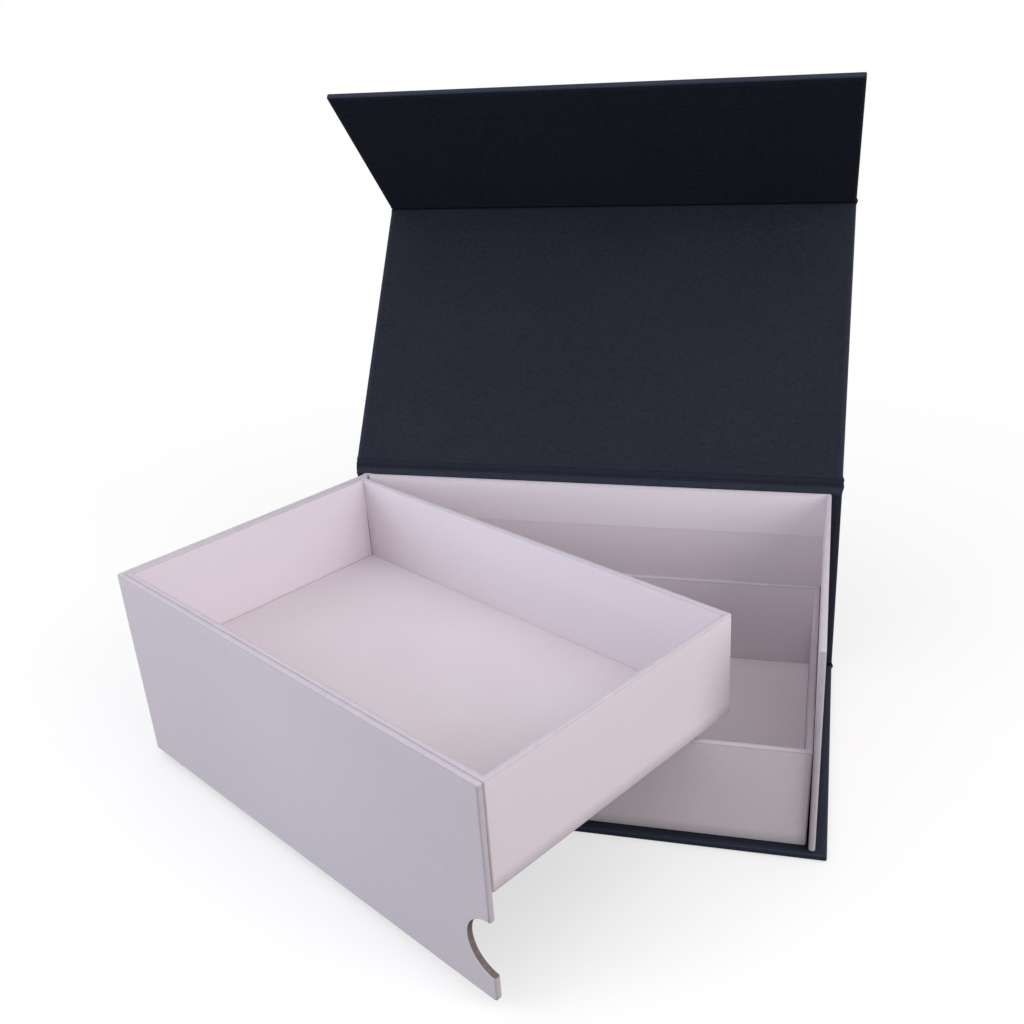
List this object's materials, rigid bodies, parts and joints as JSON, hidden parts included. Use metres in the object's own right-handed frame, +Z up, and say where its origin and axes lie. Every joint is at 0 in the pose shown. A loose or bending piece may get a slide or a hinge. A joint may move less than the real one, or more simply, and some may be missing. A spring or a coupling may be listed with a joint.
{
  "type": "hinged gift box",
  "caption": "Rigid paper-wrapped gift box with a book-style lid, a folding front flap, a lower tray and an upper tray that swings out at one corner.",
  "frame": {"origin": "middle of the base's underside, on the surface that the box stands on", "axes": "+X along the length to the right, +Y to the back where the spine and the lid's hinge are, +Z up; the part stands in its pictured pose with the lid back, the flap folded forward and the upper tray swung out"},
  "size_m": [0.3306, 0.3526, 0.2987],
  "materials": {
    "navy_paper": "dark navy wrapping paper, matt with a fine embossed grain",
    "lilac_paper": "pale lilac-white wrapping paper, matt and smooth",
    "greyboard": "raw greyboard, fibrous at its cut edges",
    "magnet_steel": "nickel-plated disc magnets, hidden in the flap board",
    "disc_steel": "plain steel discs, hidden in the front panel"
  },
  "bodies": {
    "root": {"back_wall_board": "greyboard", "base_board": "greyboard", "base_cover_paper": "navy_paper", "base_crease_fold": "navy_paper", "base_liner": "navy_paper", "fixed_wall_wrap": "lilac_paper", "lower_tray_back_wall": "greyboard", "lower_tray_floor_board": "greyboard", "lower_tray_floor_liner": "lilac_paper", "lower_tray_front_wall": "greyboard", "lower_tray_left_wall": "greyboard", "lower_tray_right_wall": "greyboard", "lower_tray_wrap": "lilac_paper", "right_wall_board": "greyboard", "spine_board": "greyboard", "spine_cover_paper": "navy_paper", "spine_liner": "navy_paper", "tray_crease_fold": "lilac_paper"},
    "lid_gully": {"lid_gully_strip": "navy_paper"},
    "lid": {"flap_crease_fold": "navy_paper", "lid_board": "greyboard", "lid_cover_paper": "navy_paper", "lid_liner": "navy_paper"},
    "flap": {"flap_board": "greyboard", "flap_cover_paper": "navy_paper", "flap_liner": "navy_paper", "flap_magnets": "magnet_steel"},
    "tray": {"front_panel_board": "greyboard", "left_panel_board": "greyboard", "moving_wall_wrap": "lilac_paper", "panel_steel_discs": "disc_steel", "upper_tray_back_wall": "greyboard", "upper_tray_floor_board": "greyboard", "upper_tray_floor_liner": "lilac_paper", "upper_tray_front_wall": "greyboard", "upper_tray_left_wall": "greyboard", "upper_tray_right_wall": "greyboard", "upper_tray_wrap": "lilac_paper"}
  },
  "joints": [
    {"name": "lid_hinge", "type": "hinge", "parent": "root", "child": "lid_gully", "pos_m": [0, 0.07712, 0.10594], "axis": [-1, 0, 0], "range_deg": [-122.2, 51.81]},
    {"name": "lid_settle", "type": "hinge", "parent": "lid_gully", "child": "lid", "pos_m": [0, 0.07898, 0.10829], "axis": [-1, 0, 0], "range_deg": [-6, 0]},
    {"name": "flap_hinge", "type": "hinge", "parent": "lid", "child": "flap", "pos_m": [0, 0.17367, 0.22862], "axis": [1, 0, 0], "range_deg": [-85.3, 4.7]},
    {"name": "tray_swing", "type": "hinge", "parent": "root", "child": "tray", "pos_m": [-0.1247, 0.07402, 0.05295], "axis": [0, 0, -1], "range_deg": [-30, 12.72]}
  ],
  "couplings": [
    {"joint": "lid_hinge", "follows": "tray_swing", "ratio": 4.0733}
  ]
}
